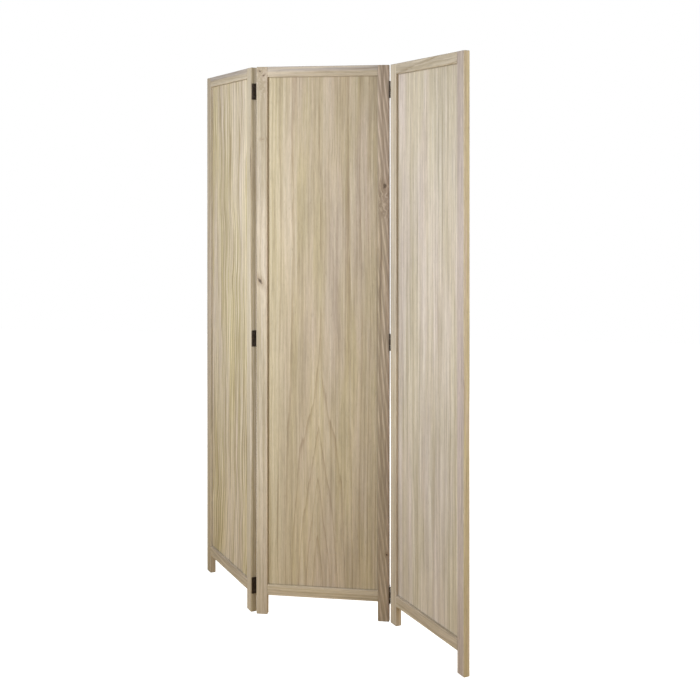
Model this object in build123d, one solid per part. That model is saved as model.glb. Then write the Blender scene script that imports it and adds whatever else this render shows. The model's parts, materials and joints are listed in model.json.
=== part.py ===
"""Folding room divider: three equal wooden panels, joined by two rows of butt hinges and stood in a zigzag.

Millimetres, +Z up. The origin is on the floor, midway along the middle panel and midway through its
thickness. The front faces -Y. The left panel folds back and the right panel folds forward, so half a
turn about Z carries the left half of the screen onto the right half.

Each panel is two full-height stiles, whose lower ends are the feet, two rails butted between them on
dowels, and a thin veneered board held in a groove that runs round the inside of the frame. Each hinge is
two steel leaves screwed to the stiles' edges and one pin, whose axis stands clear of the stiles' faces.
"""
import os

from build123d import *

# The panel's frame
PANEL_HEIGHT = 1700.0
PANEL_WIDTH = 415.0
FRAME_THICKNESS = 19.0
STILE_WIDTH = 35.0
RAIL_HEIGHT = 32.0
FOOT_HEIGHT = 60.0          # clear height under the bottom rail
EDGE_RADIUS = 2.0           # eased long edges of stiles and rails
END_RADIUS = 1.5            # eased edges round the stiles' ends

# The board and its groove
BOARD_THICKNESS = 3.0
GROOVE_DEPTH = 7.0
GROOVE_CLEARANCE = 0.15     # between the board's face and the groove's wall
BOARD_END_GAP = 1.0         # room for the board to swell, at the groove's floor

# The dowels that join rails to stiles
DOWELS_PER_JOINT = 2
DOWEL_RADIUS = 3.0
DOWEL_LENGTH = 30.0         # half of it in the rail, half in the stile
DOWEL_CHAMFER = 0.6
DOWEL_CLEARANCE = 0.05      # glue line round a dowel
DOWEL_END_GAP = 0.5         # glue room at the end of its hole

# The hinges
FOLD_ANGLE = 55.0           # how far each outer panel is turned from flat as the screen stands
HINGE_LENGTH = 51.0
TOP_HINGE_INSET = 50.0      # from the stile's top to the top hinge
BOTTOM_HINGE_INSET = 57.0   # from the floor to the bottom hinge
LEAF_THICKNESS = 1.0
LEAF_MARGIN = 2.0           # bare wood between a leaf's free edge and the stile's far face
LEAF_CORNER_RADIUS = 1.5
LEAF_CLEARANCE = 0.3        # from the pin's centre plane to a leaf's inner face
PIN_RADIUS = 1.25
PIN_CLEARANCE = 0.05
PIN_HEAD_OVERHANG = 0.7     # a head's radius beyond the pin's
PIN_HEAD_HEIGHT = 1.0
PIN_HEAD_ROUNDING = 0.8
BARREL_CLEARANCE = 0.3      # between the barrel and the stiles' faces
KNUCKLE_GAP = 0.3           # along the pin, between one leaf's knuckle and the next
NOTCH_CLEARANCE = 0.35      # round a knuckle, in the other leaf's plate

# The hinge screws
SCREWS_PER_LEAF = 2
SCREW_END_INSET = 10.0      # from the leaf's end to its nearest screw
SCREW_LENGTH = 12.0
SCREW_HEAD_RADIUS = 2.6
SCREW_CREST_RADIUS = 1.5
SCREW_ROOT_RADIUS = 1.1
SCREW_THREAD_PITCH = 1.2
SCREW_TIP_LENGTH = 2.0
SCREW_CLEARANCE = 0.05
SCREW_SLOT_LENGTH = 3.0
SCREW_SLOT_WIDTH = 0.6
SCREW_SLOT_DEPTH = 0.7
PILOT_END_GAP = 0.5         # empty hole beyond the screw's tip

# What follows from those
half_thickness = FRAME_THICKNESS / 2
rail_length = PANEL_WIDTH - 2 * STILE_WIDTH
bottom_rail_top = FOOT_HEIGHT + RAIL_HEIGHT
top_rail_bottom = PANEL_HEIGHT - RAIL_HEIGHT
groove_width = BOARD_THICKNESS + 2 * GROOVE_CLEARANCE
dowel_hole_radius = DOWEL_RADIUS + DOWEL_CLEARANCE
dowel_hole_depth = DOWEL_LENGTH / 2 + DOWEL_END_GAP
barrel_radius = PIN_RADIUS + PIN_CLEARANCE + LEAF_THICKNESS
pin_from_edge = LEAF_CLEARANCE + LEAF_THICKNESS      # pin's axis to the edge of either stile
pin_from_face = barrel_radius + BARREL_CLEARANCE     # pin's axis to the face it stands out from
panel_gap = 2 * pin_from_edge
leaf_cover = FRAME_THICKNESS - LEAF_MARGIN           # how much of the stile's edge a leaf covers
screw_from_pin = pin_from_face + leaf_cover / 2
screw_head_height = SCREW_HEAD_RADIUS - SCREW_CREST_RADIUS    # a countersink of 90 degrees
lowest_hinge = BOTTOM_HINGE_INSET
highest_hinge = PANEL_HEIGHT - TOP_HINGE_INSET - HINGE_LENGTH
hinge_bottoms = {
    "bottom": lowest_hinge,
    "middle": (lowest_hinge + highest_hinge) / 2,
    "top": highest_hinge,
}
left_pin = Vector(-PANEL_WIDTH / 2 - pin_from_edge, half_thickness + pin_from_face, 0)
left_pin_axis = Axis(left_pin, (0, 0, 1))


def block(x, y, z):
    """A box from its (low, high) span along each axis."""
    size = [high - low for low, high in (x, y, z)]
    middle = [(high + low) / 2 for low, high in (x, y, z)]
    return Pos(*middle) * Box(*size)


def upright(radius, low, high):
    """A cylinder about the Z axis."""
    return Pos(0, 0, (low + high) / 2) * Cylinder(radius, high - low)


def rod_along_x(start, length, radius, y, z):
    """A cylinder along +X from x = start."""
    return Pos(start + length / 2, y, z) * Rot(0, 90, 0) * Cylinder(radius, length)


def dowel_heights():
    """Heights of the dowels, spread over the solid wood of the bottom rail and then the top rail."""
    solid_height = RAIL_HEIGHT - GROOVE_DEPTH
    steps = [(i + 0.5) * solid_height / DOWELS_PER_JOINT for i in range(DOWELS_PER_JOINT)]
    return [FOOT_HEIGHT + s for s in steps] + [PANEL_HEIGHT - s for s in steps]


def screw_heights(hinge_bottom):
    """Heights of one leaf's screws, evenly spaced between its two insets."""
    spacing = (HINGE_LENGTH - 2 * SCREW_END_INSET) / (SCREWS_PER_LEAF - 1)
    return [hinge_bottom + SCREW_END_INSET + i * spacing for i in range(SCREWS_PER_LEAF)]


def screw_hole():
    """The hole for one screw, driven along +X with its head's face at x = 0: countersink, then pilot."""
    pilot_radius = SCREW_CREST_RADIUS + SCREW_CLEARANCE
    countersink = Cone(SCREW_HEAD_RADIUS + SCREW_CLEARANCE, pilot_radius, screw_head_height)
    pilot = upright(pilot_radius, 0, SCREW_LENGTH + PILOT_END_GAP)
    return Rot(0, 90, 0) * (Pos(0, 0, screw_head_height / 2) * countersink + pilot)


def stile(hinged):
    """A stile with its outer edge at x = 0 and its grooved inner edge at x = STILE_WIDTH.

    A hinged one has pilot holes in its outer edge, for leaves whose pins stand out from its back face.
    """
    post = block((0, STILE_WIDTH), (-half_thickness, half_thickness), (0, PANEL_HEIGHT))
    post = fillet(post.edges().filter_by(Axis.Z), EDGE_RADIUS)
    ends = post.faces().sort_by(Axis.Z)
    post = fillet(ends[0].edges() + ends[-1].edges(), END_RADIUS)
    post -= block(
        (STILE_WIDTH - GROOVE_DEPTH, STILE_WIDTH),
        (-groove_width / 2, groove_width / 2),
        (bottom_rail_top - GROOVE_DEPTH, top_rail_bottom + GROOVE_DEPTH),
    )
    for z in dowel_heights():
        post -= rod_along_x(STILE_WIDTH - dowel_hole_depth, dowel_hole_depth, dowel_hole_radius, 0, z)
    if hinged:
        for hinge_bottom in hinge_bottoms.values():
            for z in screw_heights(hinge_bottom):
                post -= Pos(-LEAF_THICKNESS, half_thickness - leaf_cover / 2, z) * screw_hole()
    return post


def bottom_rail():
    """The bottom rail in its place in a panel centred on x = 0, with its groove upwards."""
    half_length = rail_length / 2
    rail = block(
        (-half_length, half_length),
        (-half_thickness, half_thickness),
        (FOOT_HEIGHT, bottom_rail_top),
    )
    rail = fillet(rail.edges().filter_by(Axis.X), EDGE_RADIUS)
    rail -= block(
        (-half_length, half_length),
        (-groove_width / 2, groove_width / 2),
        (bottom_rail_top - GROOVE_DEPTH, bottom_rail_top),
    )
    for z in dowel_heights()[:DOWELS_PER_JOINT]:
        for start in (-half_length, half_length - dowel_hole_depth):
            rail -= rod_along_x(start, dowel_hole_depth, dowel_hole_radius, 0, z)
    return rail


def top_rail():
    """The bottom rail turned over and raised to the stiles' tops."""
    return Pos(0, 0, FOOT_HEIGHT + PANEL_HEIGHT) * Rot(180, 0, 0) * bottom_rail()


def board():
    """The thin veneered board that fills the frame."""
    reach = GROOVE_DEPTH - BOARD_END_GAP
    half_width = rail_length / 2 + reach
    return block(
        (-half_width, half_width),
        (-BOARD_THICKNESS / 2, BOARD_THICKNESS / 2),
        (bottom_rail_top - reach, top_rail_bottom + reach),
    )


def dowels():
    """One panel's dowels, each centred on the line where a rail meets a stile."""
    dowel = Rot(0, 90, 0) * chamfer(Cylinder(DOWEL_RADIUS, DOWEL_LENGTH).edges(), DOWEL_CHAMFER)
    return [
        Pos(side * rail_length / 2, 0, z) * dowel
        for side in (-1, 1)
        for z in dowel_heights()
    ]


def panel(left_stile, right_stile):
    """Every piece of one panel, centred on x = 0 and standing on z = 0."""
    half_width = PANEL_WIDTH / 2
    return {
        "left_stile": Pos(-half_width, 0, 0) * left_stile,
        "right_stile": Pos(half_width, 0, 0) * right_stile,
        "top_rail": top_rail(),
        "bottom_rail": bottom_rail(),
        "board": board(),
        "dowels": Compound(children=dowels()),
    }


def knuckle_spans():
    """The three knuckles' (low, high) spans along the pin, lowest first."""
    length = (HINGE_LENGTH - 2 * KNUCKLE_GAP) / 3
    return [(i * (length + KNUCKLE_GAP), i * (length + KNUCKLE_GAP) + length) for i in range(3)]


def hinge_leaf(own_knuckles):
    """A leaf about a pin on the Z axis, for a stile edge at x = +pin_from_edge and a back face at
    y = -pin_from_face. own_knuckles picks which of the three knuckles belong to this leaf."""
    leaf = block(
        (LEAF_CLEARANCE, pin_from_edge),
        (-pin_from_face - leaf_cover, 0),
        (0, HINGE_LENGTH),
    )
    free_edge = leaf.faces().sort_by(Axis.Y)[0]
    leaf = fillet(free_edge.edges().filter_by(Axis.X), LEAF_CORNER_RADIUS)
    for i, (low, high) in enumerate(knuckle_spans()):
        if i in own_knuckles:
            leaf += upright(barrel_radius, low, high)
        else:
            leaf -= upright(barrel_radius + NOTCH_CLEARANCE, low - KNUCKLE_GAP, high + KNUCKLE_GAP)
    leaf -= upright(PIN_RADIUS + PIN_CLEARANCE, 0, HINGE_LENGTH)
    for z in screw_heights(0):
        leaf -= Pos(LEAF_CLEARANCE, -screw_from_pin, z) * screw_hole()
    return leaf


def hinge_pin():
    """The pin, with a head peened at each end of the barrel."""
    pin = upright(PIN_RADIUS, 0, HINGE_LENGTH)
    for low in (-PIN_HEAD_HEIGHT, HINGE_LENGTH):
        head = upright(PIN_RADIUS + PIN_HEAD_OVERHANG, low, low + PIN_HEAD_HEIGHT)
        outer_face = head.faces().sort_by(Axis.Z)[0 if low < 0 else -1]
        pin += fillet(outer_face.edges(), PIN_HEAD_ROUNDING)
    return pin


def screw():
    """A countersunk wood screw along +Z, its head's face at z = 0. Its thread is a row of rings."""
    thread_end = SCREW_LENGTH - SCREW_TIP_LENGTH
    outline = [(0, 0), (SCREW_HEAD_RADIUS, 0), (SCREW_CREST_RADIUS, screw_head_height)]
    z = screw_head_height + SCREW_THREAD_PITCH
    while z + SCREW_THREAD_PITCH <= thread_end:
        outline += [(SCREW_ROOT_RADIUS, z), (SCREW_CREST_RADIUS, z + SCREW_THREAD_PITCH / 2)]
        z += SCREW_THREAD_PITCH
    outline += [(SCREW_ROOT_RADIUS, z), (SCREW_ROOT_RADIUS, thread_end), (0, SCREW_LENGTH)]
    profile = Plane.XZ * make_face(Polyline(*outline, close=True))
    body = revolve(profile, Axis.Z)
    for turn in (0, 90):
        slot = Box(SCREW_SLOT_LENGTH, SCREW_SLOT_WIDTH, 2 * SCREW_SLOT_DEPTH)
        body -= Rot(0, 0, turn) * slot
    return body


def leaf_screws():
    """The screws of every leaf down one stile, about a pin on the Z axis, driven towards +X."""
    driven = Rot(0, 90, 0) * screw()
    return [
        Pos(LEAF_CLEARANCE, -screw_from_pin, z) * driven
        for hinge_bottom in hinge_bottoms.values()
        for z in screw_heights(hinge_bottom)
    ]


def mirrored(shape):
    """The shape reflected from left to right."""
    return mirror(shape, about=Plane.YZ)


def folded(shape):
    """A piece of the flat left panel, turned about the left pins to where it stands."""
    return shape.rotate(left_pin_axis, -FOLD_ANGLE)


def half_turned(shape):
    """A left-hand piece, carried to the right-hand side of the screen."""
    return shape.rotate(Axis.Z, 180)


def build_left_joint():
    """The three hinges and their screws between the left and middle panels."""
    at_pins = Pos(*left_pin)
    middle_leaf = hinge_leaf(own_knuckles=(0, 2))
    outer_leaf = mirrored(hinge_leaf(own_knuckles=(1,)))
    pieces = {}
    for place, hinge_bottom in hinge_bottoms.items():
        at_hinge = at_pins * Pos(0, 0, hinge_bottom)
        pieces[f"{place}_hinge_middle_leaf"] = at_hinge * middle_leaf
        pieces[f"{place}_hinge_outer_leaf"] = folded(at_hinge * outer_leaf)
        pieces[f"{place}_hinge_pin"] = at_hinge * hinge_pin()
    screws = leaf_screws()
    pieces["screws_in_middle_panel"] = Compound(children=[at_pins * s for s in screws])
    pieces["screws_in_outer_panel"] = Compound(children=[folded(at_pins * mirrored(s)) for s in screws])
    return pieces


def build_screen():
    """Every node of the screen by name."""
    hinged = stile(hinged=True)
    free = stile(hinged=False)
    nodes = {}
    middle = panel(left_stile=hinged, right_stile=half_turned(hinged))
    for name, piece in middle.items():
        nodes[f"middle_panel_{name}"] = piece
    outer = panel(left_stile=free, right_stile=mirrored(hinged))
    outer["outer_stile"] = outer.pop("left_stile")
    outer["hinge_stile"] = outer.pop("right_stile")
    for name, piece in outer.items():
        standing = folded(Pos(-PANEL_WIDTH - panel_gap, 0, 0) * piece)
        nodes[f"left_panel_{name}"] = standing
        nodes[f"right_panel_{name}"] = half_turned(standing)
    for name, piece in build_left_joint().items():
        nodes[f"left_joint_{name}"] = piece
        nodes[f"right_joint_{name}"] = half_turned(piece)
    return nodes


os.makedirs("parts", exist_ok=True)
for node_name, shape in build_screen().items():
    export_step(shape, f"parts/{node_name}.step")
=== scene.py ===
import json
from math import pi, radians

import bpy
from mathutils import Matrix, Vector

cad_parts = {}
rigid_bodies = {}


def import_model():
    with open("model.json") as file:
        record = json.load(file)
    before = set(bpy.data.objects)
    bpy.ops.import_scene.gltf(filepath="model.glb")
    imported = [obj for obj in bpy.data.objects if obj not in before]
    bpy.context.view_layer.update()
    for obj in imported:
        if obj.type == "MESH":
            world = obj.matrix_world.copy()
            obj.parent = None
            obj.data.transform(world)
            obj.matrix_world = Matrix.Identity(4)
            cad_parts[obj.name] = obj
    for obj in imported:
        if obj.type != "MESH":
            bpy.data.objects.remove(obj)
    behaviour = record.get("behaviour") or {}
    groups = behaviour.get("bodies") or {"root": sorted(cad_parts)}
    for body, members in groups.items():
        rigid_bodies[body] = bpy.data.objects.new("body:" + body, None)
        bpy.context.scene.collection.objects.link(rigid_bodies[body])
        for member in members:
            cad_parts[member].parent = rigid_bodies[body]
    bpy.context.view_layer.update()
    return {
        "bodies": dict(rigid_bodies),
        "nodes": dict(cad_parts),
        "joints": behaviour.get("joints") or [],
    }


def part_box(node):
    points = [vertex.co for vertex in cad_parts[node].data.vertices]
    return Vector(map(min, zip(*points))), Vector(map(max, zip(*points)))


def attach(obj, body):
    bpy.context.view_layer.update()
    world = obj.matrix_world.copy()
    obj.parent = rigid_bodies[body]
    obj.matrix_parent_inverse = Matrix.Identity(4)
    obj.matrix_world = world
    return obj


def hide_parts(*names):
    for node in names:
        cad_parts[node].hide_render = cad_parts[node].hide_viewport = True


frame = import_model()


# --- Camera ----------------------------------------------------------------------------------------------
# A level camera at eye height, a little to the right of the screen and turned left to face it.
# The lens is shifted down rather than tilted, so that the uprights stay parallel in the picture.

camera = bpy.data.objects.new("camera", bpy.data.cameras.new("camera"))
camera.data.sensor_width = 36
camera.data.lens = 56.25
camera.data.shift_x = 0.01
camera.data.shift_y = -0.2413
camera.location = (0.5818, -3.3278, 1.3451)
camera.rotation_euler = (radians(90), 0, radians(8.85))
bpy.context.scene.collection.objects.link(camera)
bpy.context.scene.camera = camera
bpy.context.scene.view_settings.view_transform = "Standard"


# --- Studio ----------------------------------------------------------------------------------------------
# A white sweep with no horizon. One cool lamp stands close by at the front left, a weaker one at the front
# right, and one behind for the back. The floor shows white and gives back a little warm light.

SKY_COLOR = (1.0, 0.96, 0.88, 1)
LOW_COLOR = (1.0, 0.72, 0.26, 1)
SKY_STRENGTH = 0.28
LOW_END, SKY_START = -0.3, 0.5
FLOOR_SIZE = 12
FLOOR_COLOR = (0.50, 0.36, 0.14, 1)
FLOOR_GLOW = 0.86
FLOOR_MATT = (0.7, 0.7, 0.7, 1)
# place, what it is aimed at, width, power and colour
LAMPS = {
    "key_lamp": ((-1.05, -1.35, 1.27), (0, 0, 1.25), 0.8, 35, (0.80, 0.905, 1.0)),
    "side_lamp": ((1.75, -1.45, 1.3), (0.4, -0.3, 1.2), 0.8, 21, (1.0, 0.98, 0.92)),
    "back_lamp": ((0.6, 3.0, 2.2), (0, 0, 0.9), 1.6, 70, (1.0, 0.98, 0.95)),
}

# the sockets of a Mix node that mixes colours
MIX_FACTOR, MIX_FIRST, MIX_SECOND, MIX_RESULT = 0, 6, 7, 2


def add(tree, kind, wires=(), **settings):
    """Adds one node, makes its settings, and gives its inputs a value or another node's socket."""
    made = tree.nodes.new(kind)
    for name, value in settings.items():
        setattr(made, name, value)
    for name, value in dict(wires).items():
        if isinstance(value, bpy.types.NodeSocket):
            tree.links.new(value, made.inputs[name])
        else:
            made.inputs[name].default_value = value
    return made


world = bpy.data.worlds.new("studio_sky")
world.use_nodes = True
world.node_tree.nodes.clear()
sky = world.node_tree
toward = add(sky, "ShaderNodeTexCoord").outputs["Generated"]
height = add(sky, "ShaderNodeSeparateXYZ", {"Vector": toward}).outputs["Z"]
above = add(sky, "ShaderNodeMapRange", {"Value": height, "From Min": LOW_END,
                                        "From Max": SKY_START}).outputs["Result"]
shade = add(sky, "ShaderNodeMix", {MIX_FACTOR: above, MIX_FIRST: LOW_COLOR, MIX_SECOND: SKY_COLOR},
            data_type="RGBA").outputs[MIX_RESULT]
lighting = add(sky, "ShaderNodeBackground", {"Color": shade, "Strength": SKY_STRENGTH}).outputs[0]
backdrop = add(sky, "ShaderNodeBackground", {"Color": (1, 1, 1, 1), "Strength": 1.0}).outputs[0]
seen = add(sky, "ShaderNodeLightPath").outputs["Is Camera Ray"]
both = add(sky, "ShaderNodeMixShader", {0: seen, 1: lighting, 2: backdrop}).outputs[0]
add(sky, "ShaderNodeOutputWorld", {"Surface": both})
bpy.context.scene.world = world

floor_mesh = bpy.data.meshes.new("floor")
corner = FLOOR_SIZE / 2
floor_mesh.from_pydata([(-corner, -corner, 0), (corner, -corner, 0),
                        (corner, corner, 0), (-corner, corner, 0)], [], [(0, 1, 2, 3)])
floor = bpy.data.objects.new("floor", floor_mesh)
bpy.context.scene.collection.objects.link(floor)
floor_finish = bpy.data.materials.new("white_floor")
floor_finish.use_nodes = True
tree = floor_finish.node_tree
tree.nodes.clear()
glow = add(tree, "ShaderNodeEmission", {"Color": (1, 1, 1, 1), "Strength": FLOOR_GLOW}).outputs[0]
matt = add(tree, "ShaderNodeBsdfDiffuse", {"Color": FLOOR_MATT}).outputs[0]
shown = add(tree, "ShaderNodeAddShader", {0: glow, 1: matt}).outputs[0]
bounce = add(tree, "ShaderNodeBsdfDiffuse", {"Color": FLOOR_COLOR}).outputs[0]
seen = add(tree, "ShaderNodeLightPath").outputs["Is Camera Ray"]
surface = add(tree, "ShaderNodeMixShader", {0: seen, 1: bounce, 2: shown}).outputs[0]
add(tree, "ShaderNodeOutputMaterial", {"Surface": surface})
floor_mesh.materials.append(floor_finish)

for name, (place, aim, width, power, colour) in LAMPS.items():
    lamp = bpy.data.objects.new(name, bpy.data.lights.new(name, "AREA"))
    lamp.data.size = width
    lamp.data.energy = power
    lamp.data.color = colour
    lamp.location = place
    lamp.rotation_euler = (Vector(aim) - Vector(place)).to_track_quat("-Z", "Y").to_euler()
    lamp.visible_camera = False
    bpy.context.scene.collection.objects.link(lamp)


# --- Stiles ----------------------------------------------------------------------------------------------
# Six uprights of pale, wide-ringed, unfinished softwood, sawn and sanded with softened edges. Each runs the
# whole height of its panel and its lower end is a foot. Each is cut from another place in the log, so the
# growth rings, the colour and the knots differ, and the end grain shows the same rings as the faces.


def new_group(name, inputs, outputs):
    """Starts a shader node group, with its inputs as name: (socket type, value) and its outputs' names."""
    group = bpy.data.node_groups.new(name, "ShaderNodeTree")
    for label, (kind, value) in inputs.items():
        socket = group.interface.new_socket(label, in_out="INPUT", socket_type=kind)
        socket.default_value = value
    for label in outputs:
        group.interface.new_socket(label, in_out="OUTPUT", socket_type="NodeSocketFloat")
    return group, group.nodes.new("NodeGroupInput").outputs, group.nodes.new("NodeGroupOutput").inputs


def maths(tree, operation, *values):
    """One sum on numbers or sockets."""
    return add(tree, "ShaderNodeMath", dict(enumerate(values)), operation=operation).outputs[0]


def vectors(tree, operation, *values):
    """One sum on vectors that gives a vector."""
    return add(tree, "ShaderNodeVectorMath", dict(enumerate(values)), operation=operation).outputs[0]


def noise(tree, vector, stretch, scale, detail, roughness=0.5):
    """Noise about 0.5. A small stretch along an axis draws it out that way."""
    drawn = add(tree, "ShaderNodeMapping", {"Vector": vector, "Scale": stretch}).outputs[0]
    return add(tree, "ShaderNodeTexNoise",
               {"Vector": drawn, "Scale": scale, "Detail": detail, "Roughness": roughness}).outputs["Fac"]


def between(tree, value, low, high, to_low=0.0, to_high=1.0):
    """Carries value from the range low to high over to the range to_low to to_high, and stops there."""
    return add(tree, "ShaderNodeMapRange", {"Value": value, "From Min": low, "From Max": high,
                                            "To Min": to_low, "To Max": to_high}).outputs["Result"]


def mix(tree, factor, first, second, blend="MIX"):
    """Mixes two colours."""
    return add(tree, "ShaderNodeMix", {MIX_FACTOR: factor, MIX_FIRST: first, MIX_SECOND: second},
               data_type="RGBA", blend_type=blend).outputs[MIX_RESULT]


FLOAT, VECTOR = "NodeSocketFloat", "NodeSocketVector"

# Growth rings: nested cones about a pith that lies behind the face. Arch lifts them in the middle, between
# the heights Low and High, into the tall arches of a flat-sawn face. Line is the dark late wood that ends
# each year, and Band the slow change of colour across the year.
# Here and below, a noise is written as its stretch, scale, detail and roughness.
ARCH_WIDTH = 0.075
SWAY = ((1, 1, 0.3), 3.2, 1.5)
RIPPLE = ((1, 1, 0.04), 60.0, 3.0, 0.6)
RIPPLE_YEARS = 0.55
LATE_CURVE = 7.0
LATE_END = 0.95
rings, given, result = new_group("growth_rings", {
    "Vector": (VECTOR, (0, 0, 0)), "Seed": (VECTOR, (0, 0, 0)), "Spacing": (FLOAT, 0.022),
    "Pith Depth": (FLOAT, 0.02), "Taper": (FLOAT, 0.0), "Wander": (FLOAT, 0.02), "Arch": (FLOAT, 0.0),
    "Low": (FLOAT, -0.8), "High": (FLOAT, 0.0)}, ["Line", "Band"])
x, y, z = add(rings, "ShaderNodeSeparateXYZ", {"Vector": given["Vector"]}).outputs
placed = vectors(rings, "ADD", given["Vector"], given["Seed"])
sway = maths(rings, "SUBTRACT", noise(rings, placed, *SWAY), 0.5)
ripple = maths(rings, "SUBTRACT", noise(rings, placed, *RIPPLE), 0.5)
across = maths(rings, "ADD", maths(rings, "MULTIPLY_ADD", z, given["Taper"], x),
               maths(rings, "MULTIPLY", sway, given["Wander"]))
depth = maths(rings, "ADD", given["Pith Depth"], y)
radius = maths(rings, "SQRT", maths(rings, "ADD", maths(rings, "MULTIPLY", across, across),
                                    maths(rings, "MULTIPLY", depth, depth)))
aside = maths(rings, "DIVIDE", across, ARCH_WIDTH)
aside = maths(rings, "MULTIPLY", aside, aside)
middle_part = maths(rings, "EXPONENT", maths(rings, "MULTIPLY", aside, -1.0))
rise = add(rings, "ShaderNodeMapRange", {"Value": z, "From Min": given["Low"], "From Max": given["High"]},
           interpolation_type="SMOOTHSTEP").outputs["Result"]
lift = maths(rings, "MULTIPLY", maths(rings, "MULTIPLY", rise, given["Arch"]), middle_part)
year = maths(rings, "DIVIDE", maths(rings, "ADD", radius, lift), given["Spacing"])
year = maths(rings, "MULTIPLY_ADD", ripple, RIPPLE_YEARS, year)
season = maths(rings, "FRACT", year)
late = maths(rings, "MULTIPLY", maths(rings, "POWER", season, LATE_CURVE),
             between(rings, season, LATE_END, 1.0, 1.0, 0.0))
rings.links.new(late, result["Line"])
wave = maths(rings, "SINE", maths(rings, "MULTIPLY", year, 2 * pi))
rings.links.new(maths(rings, "MULTIPLY_ADD", wave, 0.5, 0.5), result["Band"])

# Fibres: what sanded timber shows between its rings, from hand-wide clouds to single fibres and pores. Bow
# is how far the streaks wander sideways.
BEND = ((0.6, 0.6, 1), 2.6, 2.0)
FIBRE_NOISES = {
    "Cloud": ((1, 1, 0.16), 13.0, 4.0, 0.6),
    "Tone": ((1, 1, 0.09), 17.0, 3.0, 0.55),
    "Streak": ((1, 1, 0.014), 130.0, 4.0, 0.68),
    "Fibre": ((1, 1, 0.07), 300.0, 4.0, 0.7),
    "Pore": ((1, 1, 0.07), 780.0, 2.0, 0.6),
}
PORE_LEVELS = (0.60, 0.70)
fibres, given, result = new_group("fibres", {
    "Vector": (VECTOR, (0, 0, 0)), "Seed": (VECTOR, (0, 0, 0)), "Bow": (FLOAT, 0.02)}, FIBRE_NOISES)
placed = vectors(fibres, "ADD", given["Vector"], given["Seed"])
x, y, z = add(fibres, "ShaderNodeSeparateXYZ", {"Vector": placed}).outputs
bend = maths(fibres, "SUBTRACT", noise(fibres, placed, *BEND), 0.5)
flow = add(fibres, "ShaderNodeCombineXYZ",
           {"X": maths(fibres, "MULTIPLY_ADD", bend, given["Bow"], x), "Y": y, "Z": z}).outputs[0]
for name, written in FIBRE_NOISES.items():
    drawn = noise(fibres, placed if name == "Cloud" else flow, *written)
    if name == "Pore":
        drawn = between(fibres, drawn, *PORE_LEVELS)
    fibres.links.new(drawn, result[name])

# Grain mark: the stub of a branch or a patch of curled grain. Core is its dark eye, Halo the stained wood
# about it, and Push how far the grain is turned aside as it flows round. Lean turns a long mark across the
# grain. All its reaches are in sizes of the mark.
MARK_DEPTH = 0.3
RAGGED = ((1, 1, 0.5), 210.0, 3.0, 0.6)
RAGGED_REACH = 1.3
CORE_LEVELS = (0.75, 0.35)
HALO_LEVELS = (2.6, 0.6)
PUSH_FADE = -0.18
PUSH_SHARE = 0.75
mark, given, result = new_group("grain_mark", {
    "Vector": (VECTOR, (0, 0, 0)), "Centre": (VECTOR, (0, 0, 0)), "Size": (FLOAT, 0.01),
    "Stretch": (FLOAT, 0.55), "Lean": (VECTOR, (0, 0, 0))}, ["Core", "Halo", "Push"])
off = vectors(mark, "SUBTRACT", given["Vector"], given["Centre"])
off = add(mark, "ShaderNodeMapping", {"Vector": off, "Rotation": given["Lean"]}).outputs[0]
shape = add(mark, "ShaderNodeCombineXYZ", {"X": 1.0, "Y": MARK_DEPTH, "Z": given["Stretch"]}).outputs[0]
off = vectors(mark, "MULTIPLY", off, shape)
far = add(mark, "ShaderNodeVectorMath", {0: off}, operation="LENGTH").outputs["Value"]
far = maths(mark, "DIVIDE", far, given["Size"])
ragged = maths(mark, "SUBTRACT", noise(mark, given["Vector"], *RAGGED), 0.5)
far = maths(mark, "MULTIPLY_ADD", ragged, RAGGED_REACH, far)
mark.links.new(between(mark, far, *CORE_LEVELS), result["Core"])
mark.links.new(between(mark, far, *HALO_LEVELS), result["Halo"])
side = add(mark, "ShaderNodeSeparateXYZ", {"Vector": off}).outputs["X"]
fade = maths(mark, "EXPONENT", maths(mark, "MULTIPLY", maths(mark, "MULTIPLY", far, far), PUSH_FADE))
push = maths(mark, "MULTIPLY", maths(mark, "MULTIPLY", side, fade), PUSH_SHARE)
mark.links.new(push, result["Push"])

# The turn and the shift that lay each panel in line with the middle one. Its grain is drawn there.
turns = {"middle_panel": (0.0, Vector((0, 0, 0)))}
for joint in frame["joints"]:
    angle = radians(joint["range_deg"][1])
    pin = Vector(joint["pos_m"])
    turns[joint["child"]] = (angle, pin - Matrix.Rotation(angle, 3, "Z") @ pin)


def use(tree, group, **wires):
    """Places a node group and returns its outputs."""
    return add(tree, "ShaderNodeGroup", {name.replace("_", " "): value for name, value in wires.items()},
               node_tree=group).outputs


FACE_RELIEF = 0.00012
RELIEF_STRENGTH = 0.7
LINE_HEIGHT, PORE_HEIGHT = 0.35, -0.6
LATE_WOOD = (0.55, 0.47, 0.38, 1)
PORE_BROWN = (0.22, 0.15, 0.10, 1)
PORE_SHARE = 0.30
KNOT_STAIN = (0.24, 0.15, 0.09, 1)
STAIN_SHARE = 0.6
KNOT_EYE = (0.045, 0.025, 0.015, 1)
# dust and painted shade: a thin dark line on each board along the frame's opening, standing in for the
# groove's shadow as well as dust
GROOVE_DUST_AND_SHADE = (0.20, 0.16, 0.11, 1)
DUST_AND_SHADE_WIDTH = 0.0035
DUST_AND_SHADE_SHARE = 0.75
TANGLE_SCALE = 55.0
TANGLE_REACH = 0.045
CURL_STRETCH = 0.5
CURL_SHADE = 0.2
SPECULAR = 0.25
# how far apart in the log two seeds lie
SEED_STEP = (3.7, 1.3, 5.1)
# the levels of a noise between which a change runs, and in some what it runs from and to
TONE_LEVELS = (0.38, 0.62)
CLOUD_LEVELS = (0.35, 0.65, 0.86, 1.12)
DARK_LEVELS = (0.50, 0.30)
PALE_LEVELS = (0.50, 0.68)
STREAK_SHARE = 0.9
FIBRE_LEVELS = (0.32, 0.68, 0.88, 1.10)
ROUGH_LEVELS = (0.35, 0.65, 0.70, 0.58)


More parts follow.
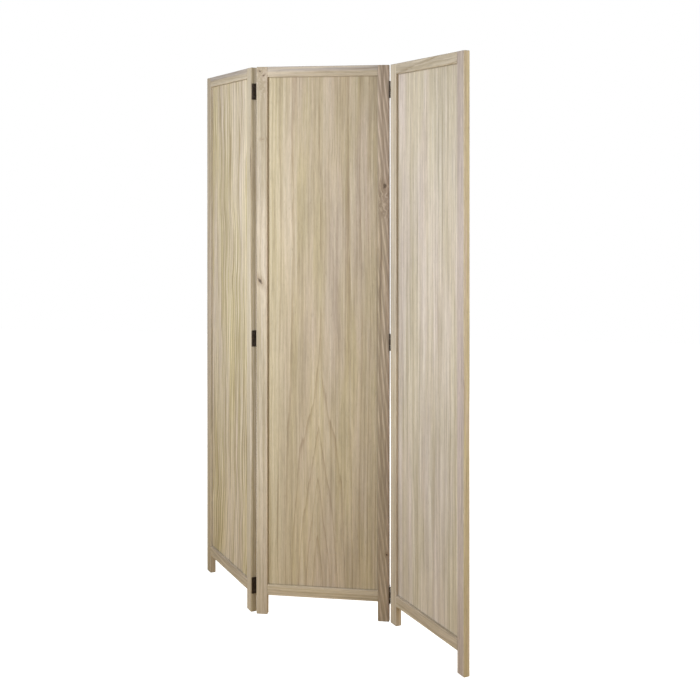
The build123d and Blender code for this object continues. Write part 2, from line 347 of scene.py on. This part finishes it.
def timber(name, panel, middle, colours, seed, spacing, line, lengthwise="Z", pith=(0.0, 0.02), taper=0.0,
           wander=0.02, bow=0.02, arch=(0.0, -0.8, 0.0), band=0.2, streak=1.0,
           marks=(), curl=(), edge=None, border=None):
    """Makes one piece's timber. middle is the piece's centre with its panel laid in line. colours are pale,
    dark, olive and pink wood. spacing is one ring's width, and line, band and streak are strengths. pith is
    how far the log's heart lies to the side of the centre and behind it. arch is how far the rings are
    lifted, and from and to which height. wander and bow move the rings and the streaks sideways.
    A mark is its centre, size, stretch, lean and darkness. A curl is a place where the grain tangles: its
    centre and size. edge is a stain toward one side: where it starts, where it is full, and its colour.
    border is half the opening a board shows through; along it the board is darkened, partly as dust and
    partly as painted shade where the groove would shadow it."""
    angle, shift = turns[panel]
    pale, dark, olive, pink = [(*colour, 1) for colour in colours]
    made = bpy.data.materials.new(name)
    made.use_nodes = True
    tree = made.node_tree
    shader = tree.nodes["Principled BSDF"]
    place = add(tree, "ShaderNodeTexCoord").outputs["Object"]
    laid = add(tree, "ShaderNodeMapping", {"Vector": place, "Rotation": (0, 0, angle), "Location": shift})
    about = add(tree, "ShaderNodeMapping",
                {"Vector": laid.outputs[0], "Location": tuple(-value for value in middle)}).outputs[0]
    if lengthwise == "X":
        about = add(tree, "ShaderNodeMapping", {"Vector": about, "Rotation": (0, -pi / 2, 0)}).outputs[0]
    sideways = add(tree, "ShaderNodeSeparateXYZ", {"Vector": about}).outputs["X"]
    halo = core = 0.0
    for centre, size, stretch, lean, darkness in marks:
        found = use(tree, mark, Vector=about, Centre=centre, Size=size, Stretch=stretch,
                    Lean=(0, radians(lean), 0))
        halo = maths(tree, "MAXIMUM", halo, maths(tree, "MULTIPLY", found["Halo"], darkness))
        core = maths(tree, "MAXIMUM", core, maths(tree, "MULTIPLY", found["Core"], darkness))
        turned = add(tree, "ShaderNodeCombineXYZ", {"X": found["Push"]}).outputs[0]
        about = vectors(tree, "SUBTRACT", about, turned)
    for centre, size in curl:
        found = use(tree, mark, Vector=about, Centre=centre, Size=size, Stretch=CURL_STRETCH)
        tangle = add(tree, "ShaderNodeTexNoise", {"Vector": about, "Scale": TANGLE_SCALE, "Detail": 1.0})
        tangle = vectors(tree, "SUBTRACT", tangle.outputs["Color"], (0.5, 0.5, 0.5))
        reach = maths(tree, "MULTIPLY", found["Halo"], TANGLE_REACH)
        tangle = add(tree, "ShaderNodeVectorMath", {0: tangle, "Scale": reach}, operation="SCALE")
        about = vectors(tree, "ADD", about, tangle.outputs[0])
        halo = maths(tree, "MAXIMUM", halo, maths(tree, "MULTIPLY", found["Halo"], CURL_SHADE))
    offset = tuple(step * seed for step in SEED_STEP)
    log = add(tree, "ShaderNodeMapping", {"Vector": about, "Location": (pith[0], 0, 0)}).outputs[0]
    ring = use(tree, rings, Vector=log, Seed=offset, Spacing=spacing, Pith_Depth=pith[1], Taper=taper,
               Wander=wander, Arch=arch[0], Low=arch[1], High=arch[2])
    fibre = use(tree, fibres, Vector=about, Seed=offset, Bow=bow)

    colour = mix(tree, between(tree, fibre["Tone"], *TONE_LEVELS), olive, pink)
    colour = mix(tree, 1.0, colour, between(tree, fibre["Cloud"], *CLOUD_LEVELS), "MULTIPLY")
    if edge:
        start, full, stain = edge
        unevenness = maths(tree, "SUBTRACT", fibre["Tone"], 0.5)
        spread = maths(tree, "MULTIPLY_ADD", unevenness, full - start, sideways)
        colour = mix(tree, between(tree, spread, start, full), colour, (*stain, 1))
    for levels, wood in ((DARK_LEVELS, dark), (PALE_LEVELS, pale)):
        share = maths(tree, "MULTIPLY", between(tree, fibre["Streak"], *levels), STREAK_SHARE * streak)
        colour = mix(tree, share, colour, wood)
    colour = mix(tree, maths(tree, "MULTIPLY", ring["Band"], band), colour, dark)
    late = mix(tree, 1.0, colour, LATE_WOOD, "MULTIPLY")
    colour = mix(tree, maths(tree, "MULTIPLY", ring["Line"], line), colour, late)
    colour = mix(tree, 1.0, colour, between(tree, fibre["Fibre"], *FIBRE_LEVELS), "MULTIPLY")
    colour = mix(tree, maths(tree, "MULTIPLY", fibre["Pore"], PORE_SHARE), colour, PORE_BROWN)
    if marks or curl:
        colour = mix(tree, maths(tree, "MULTIPLY", halo, STAIN_SHARE), colour, KNOT_STAIN)
        colour = mix(tree, core, colour, KNOT_EYE)
    # Painted shade: the board is darkened in a thin line along the opening, partly dust and partly the
    # shadow the frame's groove casts there.
    if border:
        across, _, along = add(tree, "ShaderNodeSeparateXYZ", {"Vector": about}).outputs
        inset = maths(tree, "MINIMUM", maths(tree, "SUBTRACT", border[0], maths(tree, "ABSOLUTE", across)),
                      maths(tree, "SUBTRACT", border[1], maths(tree, "ABSOLUTE", along)))
        dust_and_shade = between(tree, inset, DUST_AND_SHADE_WIDTH, 0.0, 0.0, DUST_AND_SHADE_SHARE)
        colour = mix(tree, dust_and_shade, colour, GROOVE_DUST_AND_SHADE)
    relief = maths(tree, "MULTIPLY_ADD", fibre["Pore"], PORE_HEIGHT, fibre["Fibre"])
    relief = maths(tree, "MULTIPLY_ADD", ring["Line"], LINE_HEIGHT, relief)
    bump = add(tree, "ShaderNodeBump", {"Height": relief, "Distance": FACE_RELIEF,
                                        "Strength": RELIEF_STRENGTH})
    rough = between(tree, fibre["Streak"], *ROUGH_LEVELS)
    for socket, value in {"Base Color": colour, "Roughness": rough, "Normal": bump.outputs[0]}.items():
        tree.links.new(value, shader.inputs[socket])
    shader.inputs["Specular IOR Level"].default_value = SPECULAR
    return made


def dress(node, material):
    """Gives a carried-over piece its finish."""
    slots = frame["nodes"][node].data.materials
    slots.clear()
    slots.append(material)


def in_line(panel, place):
    """A place on the standing screen, moved to where it lies with its panel in line with the middle one."""
    angle, shift = turns[panel]
    return Matrix.Rotation(angle, 3, "Z") @ Vector(place) + shift


def panel_of(node):
    """The panel a piece's name begins with."""
    return node[:node.index("_panel")] + "_panel"


def middle_of(panel, node):
    """The middle of a piece, with its panel in line."""
    low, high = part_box(node)
    return in_line(panel, (low + high) / 2)


# pale, dark, olive and pink wood
GREY_TIMBER = ((0.62, 0.52, 0.41), (0.37, 0.29, 0.20), (0.50, 0.41, 0.29), (0.54, 0.44, 0.35))
PALE_STILE = ((0.68, 0.58, 0.47), (0.42, 0.33, 0.23), (0.57, 0.47, 0.34), (0.61, 0.51, 0.41))
BROWN_TIMBER = ((0.64, 0.51, 0.40), (0.26, 0.19, 0.13), (0.52, 0.41, 0.29), (0.56, 0.43, 0.345))
PINK_TIMBER = ((0.65, 0.54, 0.50), (0.40, 0.31, 0.27), (0.56, 0.46, 0.39), (0.59, 0.475, 0.44))
HALF_THICK = 0.0095  # from the middle of a stile to its face

STILES = {
    "middle_panel_left_stile": dict(
        colours=GREY_TIMBER, seed=1, spacing=0.022, pith=(0.04, 0.03), taper=0.01, line=0.3,
        marks=[((-0.006, -HALF_THICK, 0.185), 0.0065, 0.4, 35, 0.75),
               ((0.002, -HALF_THICK, 0.625), 0.006, 1.8, 0, 0.3),
               ((-0.006, -HALF_THICK, 0.836), 0.0035, 0.5, 50, 0.7),
               ((0.006, -HALF_THICK, 0.823), 0.0035, 0.5, -50, 0.7)],
        curl=[((0.004, -HALF_THICK, 0.820), 0.016)]),
    "middle_panel_right_stile": dict(
        colours=BROWN_TIMBER, seed=2, spacing=0.012, pith=(-0.03, 0.0), taper=0.13, wander=0.06,
        line=0.8, band=0.7,
        marks=[((0.004, -HALF_THICK, 0.480), 0.009, 0.7, 0, 0.6),
               ((0.010, -HALF_THICK, -0.645), 0.0035, 0.8, 20, 1.0)],
        curl=[((0.008, -HALF_THICK, 0.43), 0.012)], edge=(0.006, 0.016, (0.43, 0.31, 0.24))),
    "left_panel_hinge_stile": dict(
        colours=PALE_STILE, seed=3, spacing=0.018, pith=(0.05, 0.03), taper=0.01, line=0.4,
        marks=[((0.013, -HALF_THICK, 0.555), 0.0035, 0.05, 2, 0.55)],
        edge=(0.012, 0.0175, (0.45, 0.37, 0.25))),
    "left_panel_outer_stile": dict(
        colours=GREY_TIMBER, seed=4, spacing=0.018, pith=(-0.05, 0.04), taper=0.01, line=0.3),
    "right_panel_hinge_stile": dict(
        colours=PALE_STILE, seed=5, spacing=0.020, pith=(0.05, 0.03), taper=0.01, line=0.3),
    "right_panel_outer_stile": dict(
        colours=PINK_TIMBER, seed=6, spacing=0.016, pith=(-0.05, 0.03), taper=0.01, line=0.35, band=0.3,
        edge=(0.013, 0.017, (0.62, 0.54, 0.34))),
}
for node, looks in STILES.items():
    panel = panel_of(node)
    dress(node, timber(node + "_timber", panel, middle_of(panel, node), **looks))


# --- Rails -----------------------------------------------------------------------------------------------
# Two short lengths of the same timber to a panel, butted between the stiles and held by hidden dowels.
# Their grain runs across the panel. Two top rails are mauve-grey in their upper half and pale below, and
# the third shows its rings more strongly.

MAUVE_UPPER_HALF = (0.002, -0.006, (0.45, 0.39, 0.37))
TOP_GRAIN = dict(colours=PALE_STILE, spacing=0.034, wander=0.05, taper=0.06, bow=0.05, line=0.4, band=0.3)
BOTTOM_GRAIN = dict(colours=GREY_TIMBER, spacing=0.015, wander=0.03, taper=0.02, bow=0.04, line=0.5)
RAIL_PITH = (0.07, 0.01)
FIRST_RAIL_SEED = 11
RAILS = {
    "left_panel_top_rail": dict(TOP_GRAIN, edge=MAUVE_UPPER_HALF),
    "middle_panel_top_rail": dict(TOP_GRAIN, colours=GREY_TIMBER, edge=MAUVE_UPPER_HALF),
    "right_panel_top_rail": dict(TOP_GRAIN, taper=0.09, line=0.8),
    "left_panel_bottom_rail": BOTTOM_GRAIN,
    "middle_panel_bottom_rail": BOTTOM_GRAIN,
    "right_panel_bottom_rail": BOTTOM_GRAIN,
}
for seed, (node, looks) in enumerate(RAILS.items(), start=FIRST_RAIL_SEED):
    panel = panel_of(node)
    dress(node, timber(node + "_timber", panel, middle_of(panel, node), lengthwise="X", seed=seed,
                       pith=RAIL_PITH, **looks))


# --- Boards ----------------------------------------------------------------------------------------------
# A thin board, faced with sliced veneer, fills each frame and sits in grooves with no glue. The middle one
# is flat-sliced, and low down its rings open out into arches. The outer two are straighter.

BOARD_TIMBER = ((0.61, 0.51, 0.385), (0.34, 0.26, 0.17), (0.49, 0.395, 0.25), (0.525, 0.415, 0.325))
LEFT_TIMBER = ((0.82, 0.70, 0.55), (0.38, 0.29, 0.17), (0.67, 0.56, 0.33), (0.76, 0.63, 0.53))
PALE_TIMBER = ((0.74, 0.65, 0.55), (0.42, 0.34, 0.25), (0.59, 0.50, 0.375), (0.66, 0.55, 0.49))
OPENING = (0.1725, 0.788)  # half the width and half the height of the frame's opening
BOARDS = {
    "middle_panel": dict(colours=BOARD_TIMBER, seed=21, spacing=0.022, pith=(0.01, 0.004), wander=0.04,
                         bow=0.014, arch=(0.085, -0.90, 0.0), line=0.75, band=0.12,
                         streak=0.8, edge=(-0.09, -0.20, (0.57, 0.48, 0.31))),
    "left_panel": dict(colours=LEFT_TIMBER, seed=22, spacing=0.019, pith=(0.25, 0.02), wander=0.08,
                       bow=0.10, line=0.8, band=0.5, streak=1.7),
    "right_panel": dict(colours=PALE_TIMBER, seed=23, spacing=0.028, pith=(-0.25, 0.02), wander=0.04,
                        bow=0.02, line=0.5, band=0.15, streak=0.95),
}
for panel, looks in BOARDS.items():
    node = panel + "_board"
    dress(node, timber(node + "_veneer", panel, middle_of(panel, node), border=OPENING, **looks))


# --- Dowels ----------------------------------------------------------------------------------------------
# Turned beech pins, two to a corner, glued into the stile and the rail. They are hidden once the frame is
# closed up, and their grain runs along the rail.

BEECH = ((0.70, 0.54, 0.37), (0.50, 0.34, 0.21), (0.62, 0.45, 0.29), (0.60, 0.45, 0.31))
for panel in frame["bodies"]:
    node = panel + "_dowels"
    dress(node, timber(node + "_beech", panel, middle_of(panel, node), BEECH, lengthwise="X", seed=31,
                       spacing=0.003, line=0.2))


# --- Hinges ----------------------------------------------------------------------------------------------
# Three steel butt hinges to a joint: two rolled leaves and a loose pin with upset heads. All of it is
# lacquered a dark brown that has worn through in patches along the edges.

LACQUER = (0.030, 0.019, 0.012, 1)
LACQUER_THIN = (0.085, 0.055, 0.036, 1)
BARE_STEEL = (0.30, 0.27, 0.24, 1)
EDGE_ROUNDING = 0.0009
PATCHES = ((1, 1, 1), 420.0, 4.0, 0.7)
SPECKS = ((1, 1, 1), 900.0, 2.0)
SPRAY_GRAIN = ((1, 1, 1), 2600.0, 3.0, 0.6)
EDGE_LEVELS = (0.995, 0.86)
PATCH_LEVELS = (0.40, 0.62)
SPECK_LEVELS = (0.66, 0.72)

# Edge wear: Edge is where a corner has rubbed bare in patches, Speck the fine chips, and Grain the texture
# that spraying left.
wear, given, result = new_group("edge_wear", {
    "Vector": (VECTOR, (0, 0, 0)), "Reach": (FLOAT, EDGE_ROUNDING)}, ["Edge", "Speck", "Grain"])
rounded = add(wear, "ShaderNodeBevel", {"Radius": given["Reach"]}, samples=6).outputs["Normal"]
true_face = add(wear, "ShaderNodeNewGeometry").outputs["Normal"]
agree = add(wear, "ShaderNodeVectorMath", {0: rounded, 1: true_face}, operation="DOT_PRODUCT")
patchy = noise(wear, given["Vector"], *PATCHES)
edge = maths(wear, "MULTIPLY", between(wear, agree.outputs["Value"], *EDGE_LEVELS),
             between(wear, patchy, *PATCH_LEVELS))
wear.links.new(edge, result["Edge"])
specks = noise(wear, given["Vector"], *SPECKS)
wear.links.new(between(wear, specks, *SPECK_LEVELS), result["Speck"])
wear.links.new(noise(wear, given["Vector"], *SPRAY_GRAIN), result["Grain"])

CLOUDY = ((1, 1, 1), 160.0, 3.0)
THIN_LEVELS = (0.35, 0.7)
GLOSS_LEVELS = (0.3, 0.7, 0.36, 0.52)
METAL_LEVELS = (0, 1, 0.25, 0.95)
SPECK_SHARE = 0.5
SPRAY_RELIEF = 0.00004
SPRAY_STRENGTH = 0.6


def lacquered_steel(name, worn):
    """Steel under dark lacquer. worn is how much of the bare metal shows along the edges."""
    made = bpy.data.materials.new(name)
    made.use_nodes = True
    tree = made.node_tree
    shader = tree.nodes["Principled BSDF"]
    place = add(tree, "ShaderNodeTexCoord").outputs["Object"]
    rubbed = use(tree, wear, Vector=place, Reach=EDGE_ROUNDING)
    cloudy = noise(tree, place, *CLOUDY)
    colour = mix(tree, between(tree, cloudy, *THIN_LEVELS), LACQUER, LACQUER_THIN)
    colour = mix(tree, maths(tree, "MULTIPLY", rubbed["Speck"], SPECK_SHARE), colour, LACQUER_THIN)
    bare = maths(tree, "MULTIPLY", rubbed["Edge"], worn)
    colour = mix(tree, bare, colour, BARE_STEEL)
    bump = add(tree, "ShaderNodeBump", {"Height": rubbed["Grain"], "Distance": SPRAY_RELIEF,
                                        "Strength": SPRAY_STRENGTH})
    for socket, value in {"Base Color": colour, "Metallic": between(tree, bare, *METAL_LEVELS),
                          "Roughness": between(tree, cloudy, *GLOSS_LEVELS),
                          "Normal": bump.outputs[0]}.items():
        tree.links.new(value, shader.inputs[socket])
    return made


leaf_finish = lacquered_steel("hinge_leaf_lacquer", worn=0.7)
pin_finish = lacquered_steel("hinge_pin_lacquer", worn=1.0)
for node in frame["nodes"]:
    if node.endswith("_leaf"):
        dress(node, leaf_finish)
    elif node.endswith("_pin"):
        dress(node, pin_finish)


# --- Hinge screws ----------------------------------------------------------------------------------------
# Countersunk, slotted steel wood screws, two to a leaf, lacquered like the hinges. Their heads lie flush
# in the leaf and their rolled threads, a true helix, run to a point inside the stile.

SCREW_LENGTH = 0.012
HEAD_RADIUS = 0.0026
HEAD_HEIGHT = 0.0011
HEAD_RIM = 0.00012
CREST_RADIUS = 0.0015
ROOT_RADIUS = 0.0011
THREAD_PITCH = 0.0012
THREAD_START = 0.0016
FLANK_START = 0.45
TIP_LENGTH = 0.002
TIP_RADIUS = 0.0001
SLOT_LENGTH = 0.003
SLOT_WIDTH = 0.0006
SLOT_DEPTH = 0.0007
SCREW_SIDES = 16
SCREW_STEPS = 56
SHARP_ANGLE = 35
# the sockets of a Random Value node set to numbers
RANDOM_LOW, RANDOM_HIGH, RANDOM_RESULT = 2, 3, 1


def geometry_tree(name, inputs):
    """Starts a Geometry Nodes tree, with a mesh in and out and its inputs as name: (socket type, value)."""
    tree = bpy.data.node_groups.new(name, "GeometryNodeTree")
    tree.interface.new_socket("Geometry", in_out="INPUT", socket_type="NodeSocketGeometry")
    tree.interface.new_socket("Geometry", in_out="OUTPUT", socket_type="NodeSocketGeometry")
    for label, (kind, value) in inputs.items():
        socket = tree.interface.new_socket(label, in_out="INPUT", socket_type=kind)
        if value is not None:
            socket.default_value = value
    return tree, tree.nodes.new("NodeGroupInput").outputs, tree.nodes.new("NodeGroupOutput").inputs


def set_input(modifier, label, value):
    """Sets a modifier's input by its socket's identifier."""
    for item in modifier.node_group.interface.items_tree:
        if item.item_type == "SOCKET" and item.in_out == "INPUT" and item.name == label:
            modifier[item.identifier] = value


turning, given, result = geometry_tree("wood_screws", {
    "Length": (FLOAT, SCREW_LENGTH), "Head Radius": (FLOAT, HEAD_RADIUS),
    "Head Height": (FLOAT, HEAD_HEIGHT), "Head Rim": (FLOAT, HEAD_RIM),
    "Crest Radius": (FLOAT, CREST_RADIUS), "Root Radius": (FLOAT, ROOT_RADIUS),
    "Thread Pitch": (FLOAT, THREAD_PITCH), "Tip Length": (FLOAT, TIP_LENGTH),
    "Finish": ("NodeSocketMaterial", None), "Seed": ("NodeSocketInt", 0)})
# a drum of unit radius, turned to the screw's profile: depth runs from 0 at the head's face to Length
drum = add(turning, "GeometryNodeMeshCylinder",
           {"Vertices": SCREW_SIDES, "Side Segments": SCREW_STEPS, "Radius": 1.0, "Depth": given["Length"]},
           fill_type="TRIANGLE_FAN").outputs["Mesh"]
place = add(turning, "GeometryNodeInputPosition").outputs[0]
x, y, z = add(turning, "ShaderNodeSeparateXYZ", {"Vector": place}).outputs
depth = maths(turning, "ADD", z, maths(turning, "MULTIPLY", given["Length"], 0.5))
turn = maths(turning, "DIVIDE", maths(turning, "ARCTAN2", y, x), 2 * pi)
helix = maths(turning, "SUBTRACT", maths(turning, "DIVIDE", depth, given["Thread Pitch"]), turn)
crest = maths(turning, "MULTIPLY", maths(turning, "PINGPONG", helix, 0.5), 2.0)
crest = between(turning, crest, FLANK_START, 1.0)
threaded = between(turning, depth, given["Head Height"], THREAD_START)
thread = maths(turning, "MULTIPLY", maths(turning, "MULTIPLY", crest, threaded),
               maths(turning, "SUBTRACT", given["Crest Radius"], given["Root Radius"]))
shank = maths(turning, "ADD", given["Root Radius"], thread)
tip_start = maths(turning, "SUBTRACT", given["Length"], given["Tip Length"])
to_tip = between(turning, depth, tip_start, given["Length"], 1.0, TIP_RADIUS / ROOT_RADIUS)
shank = maths(turning, "MULTIPLY", shank, to_tip)
cone = maths(turning, "SUBTRACT", maths(turning, "ADD", given["Head Radius"], given["Head Rim"]), depth)
cone = maths(turning, "MINIMUM", cone, given["Head Radius"])
girth = maths(turning, "MAXIMUM", cone, shank)
turned = add(turning, "ShaderNodeCombineXYZ", {"X": maths(turning, "MULTIPLY", x, girth),
                                               "Y": maths(turning, "MULTIPLY", y, girth), "Z": depth})
screw = add(turning, "GeometryNodeSetPosition", {"Geometry": drum, "Position": turned.outputs[0]})
slot_size = (SLOT_LENGTH, SLOT_WIDTH, 2 * SLOT_DEPTH)
blade = add(turning, "GeometryNodeMeshCube", {"Size": slot_size}).outputs["Mesh"]
slotted = add(turning, "GeometryNodeMeshBoolean", operation="DIFFERENCE", solver="EXACT")
turning.links.new(screw.outputs[0], slotted.inputs["Mesh 1"])
turning.links.new(blade, slotted.inputs["Mesh 2"])
inward = add(turning, "GeometryNodeInputNamedAttribute", {"Name": "into_wood"}, data_type="FLOAT_VECTOR")
aimed = add(turning, "FunctionNodeAlignRotationToVector", {"Vector": inward.outputs["Attribute"]},
            axis="Z")
spin = add(turning, "FunctionNodeRandomValue",
           {RANDOM_LOW: 0.0, RANDOM_HIGH: pi, "Seed": given["Seed"]}, data_type="FLOAT")
spun = add(turning, "FunctionNodeAxisAngleToRotation",
           {"Axis": (0, 0, 1), "Angle": spin.outputs[RANDOM_RESULT]})
heading = add(turning, "FunctionNodeRotateRotation",
              {"Rotation": aimed.outputs[0], "Rotate By": spun.outputs[0]}, rotation_space="LOCAL")
placed = add(turning, "GeometryNodeInstanceOnPoints",
             {"Points": given["Geometry"], "Instance": slotted.outputs["Mesh"],
              "Rotation": heading.outputs[0]})
whole = add(turning, "GeometryNodeRealizeInstances", {"Geometry": placed.outputs[0]}).outputs[0]
finished = add(turning, "GeometryNodeSetMaterial", {"Geometry": whole, "Material": given["Finish"]})
turning.links.new(finished.outputs[0], result["Geometry"])


def held_by(node):
    """The panel whose stiles a group of screws is driven into."""
    side = node.split("_")[0]
    return "middle_panel" if node.endswith("_in_middle_panel") else side + "_panel"


def standing(panel, place):
    """The way back from in_line: a place given with the panel in line, moved to where the panel stands."""
    angle, shift = turns[panel]
    return Matrix.Rotation(-angle, 3, "Z") @ (Vector(place) - shift)


# Where they go: flush with each leaf's exposed face, as far from its ends as the plain model's screws are.
screw_finish = lacquered_steel("hinge_screw_lacquer", worn=0.9)
screw_places = {panel: [] for panel in frame["bodies"]}
for joint in frame["joints"]:
    side = joint["name"].split("_")[0]
    toward_middle = 1 if side == "left" else -1
    low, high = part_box(side + "_joint_screws_in_middle_panel")
    head_face = low.x if side == "left" else high.x
    inset = low.z + HEAD_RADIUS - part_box(side + "_joint_bottom_hinge_middle_leaf")[0].z
    for level in ("bottom", "middle", "top"):
        leaf_low, leaf_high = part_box(f"{side}_joint_{level}_hinge_middle_leaf")
        for z in (leaf_low.z + inset, leaf_high.z - inset):
            head = Vector((head_face, (low.y + high.y) / 2, z))
            screw_places["middle_panel"].append((head, Vector((toward_middle, 0, 0))))
            mirrored = Vector((2 * joint["pos_m"][0] - head.x, head.y, z))
            outer_head = standing(joint["child"], mirrored)
            inside = standing(joint["child"], mirrored - Vector((toward_middle, 0, 0)))
            screw_places[joint["child"]].append((outer_head, inside - outer_head))

for seed, (panel, places) in enumerate(screw_places.items()):
    points = bpy.data.meshes.new(panel + "_screw_places")
    points.from_pydata([head for head, _ in places], [], [])
    into_wood = points.attributes.new("into_wood", "FLOAT_VECTOR", "POINT")
    for item, (_, direction) in zip(into_wood.data, places):
        item.vector = direction
    layout = bpy.data.objects.new(panel + "_screw_places", points)
    bpy.context.scene.collection.objects.link(layout)
    modifier = layout.modifiers.new("screws", "NODES")
    modifier.node_group = turning
    set_input(modifier, "Finish", screw_finish)
    set_input(modifier, "Seed", seed)
    ready = layout.evaluated_get(bpy.context.evaluated_depsgraph_get())
    mesh = bpy.data.meshes.new_from_object(ready)
    mesh.materials.clear()
    mesh.materials.append(screw_finish)
    layout.modifiers.remove(modifier)
    bpy.data.objects.remove(layout)
    screws = bpy.data.objects.new(panel + "_hinge_screws", mesh)
    bpy.context.scene.collection.objects.link(screws)
    mesh.shade_smooth()
    mesh.set_sharp_from_angle(angle=radians(SHARP_ANGLE))
    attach(screws, panel)
    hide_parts(*[node for node in frame["nodes"]
                          if "_screws_in_" in node and held_by(node) == panel])
